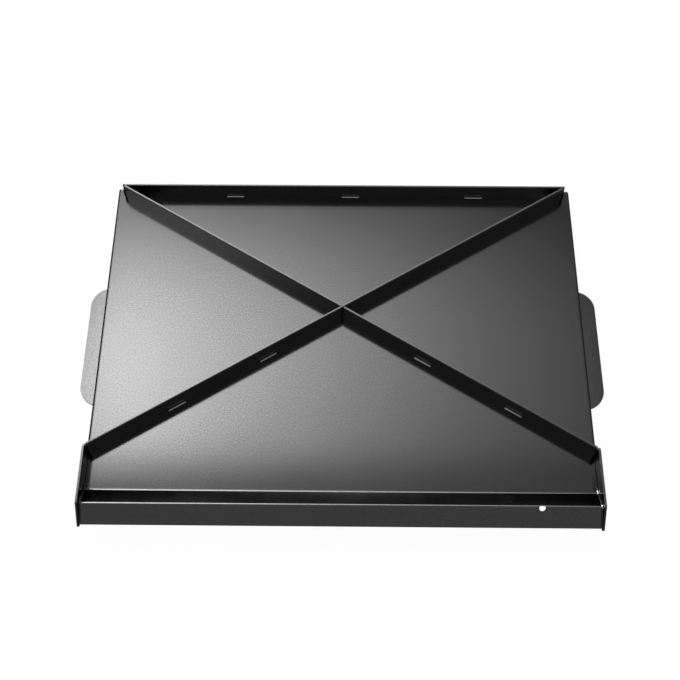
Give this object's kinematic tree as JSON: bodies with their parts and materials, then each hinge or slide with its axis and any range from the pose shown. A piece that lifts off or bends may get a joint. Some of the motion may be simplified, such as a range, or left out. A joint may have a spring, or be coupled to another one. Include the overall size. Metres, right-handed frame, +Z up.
{
  "type": "griddle plate",
  "caption": "Black steel griddle plate, underside up: bent deck with splash walls, grip tabs, V grease trough with drain hole, crossed diagonal ribs and a rear rib.",
  "frame": {"origin": "middle of the footprint, on the surface that the wall rims and grip tabs lie on with the plate underside up", "axes": "+X along the width towards the end with the drain hole, +Y from the grease trough to the back wall, +Z up through the deck to the ribs, which is down when the plate is in use"},
  "size_m": [0.648, 0.472, 0.055],
  "materials": {
    "sheet_steel": "black heat-treated steel, satin",
    "rib_steel": "black heat-treated steel, satin, cut edges brighter",
    "weld_steel": "weld metal under the black finish, brighter on its crown"
  },
  "bodies": {
    "root": {"griddle_plate": "sheet_steel", "rear_rib": "rib_steel", "diagonal_rib_left": "rib_steel", "diagonal_rib_right": "rib_steel", "trough_end_left": "sheet_steel", "trough_end_right": "sheet_steel", "trough_end_left_seam": "weld_steel", "trough_end_right_seam": "weld_steel", "trough_end_left_foot_weld": "weld_steel", "trough_end_right_foot_weld": "weld_steel", "rear_rib_weld_left": "weld_steel", "rear_rib_weld_middle": "weld_steel", "rear_rib_weld_right": "weld_steel", "left_diagonal_weld_inner": "weld_steel", "left_diagonal_weld_outer": "weld_steel", "right_diagonal_weld_inner": "weld_steel", "right_diagonal_weld_outer": "weld_steel", "left_back_tack": "weld_steel", "right_back_tack": "weld_steel", "left_front_tack": "weld_steel", "right_front_tack": "weld_steel"}
  },
  "joints": []
}
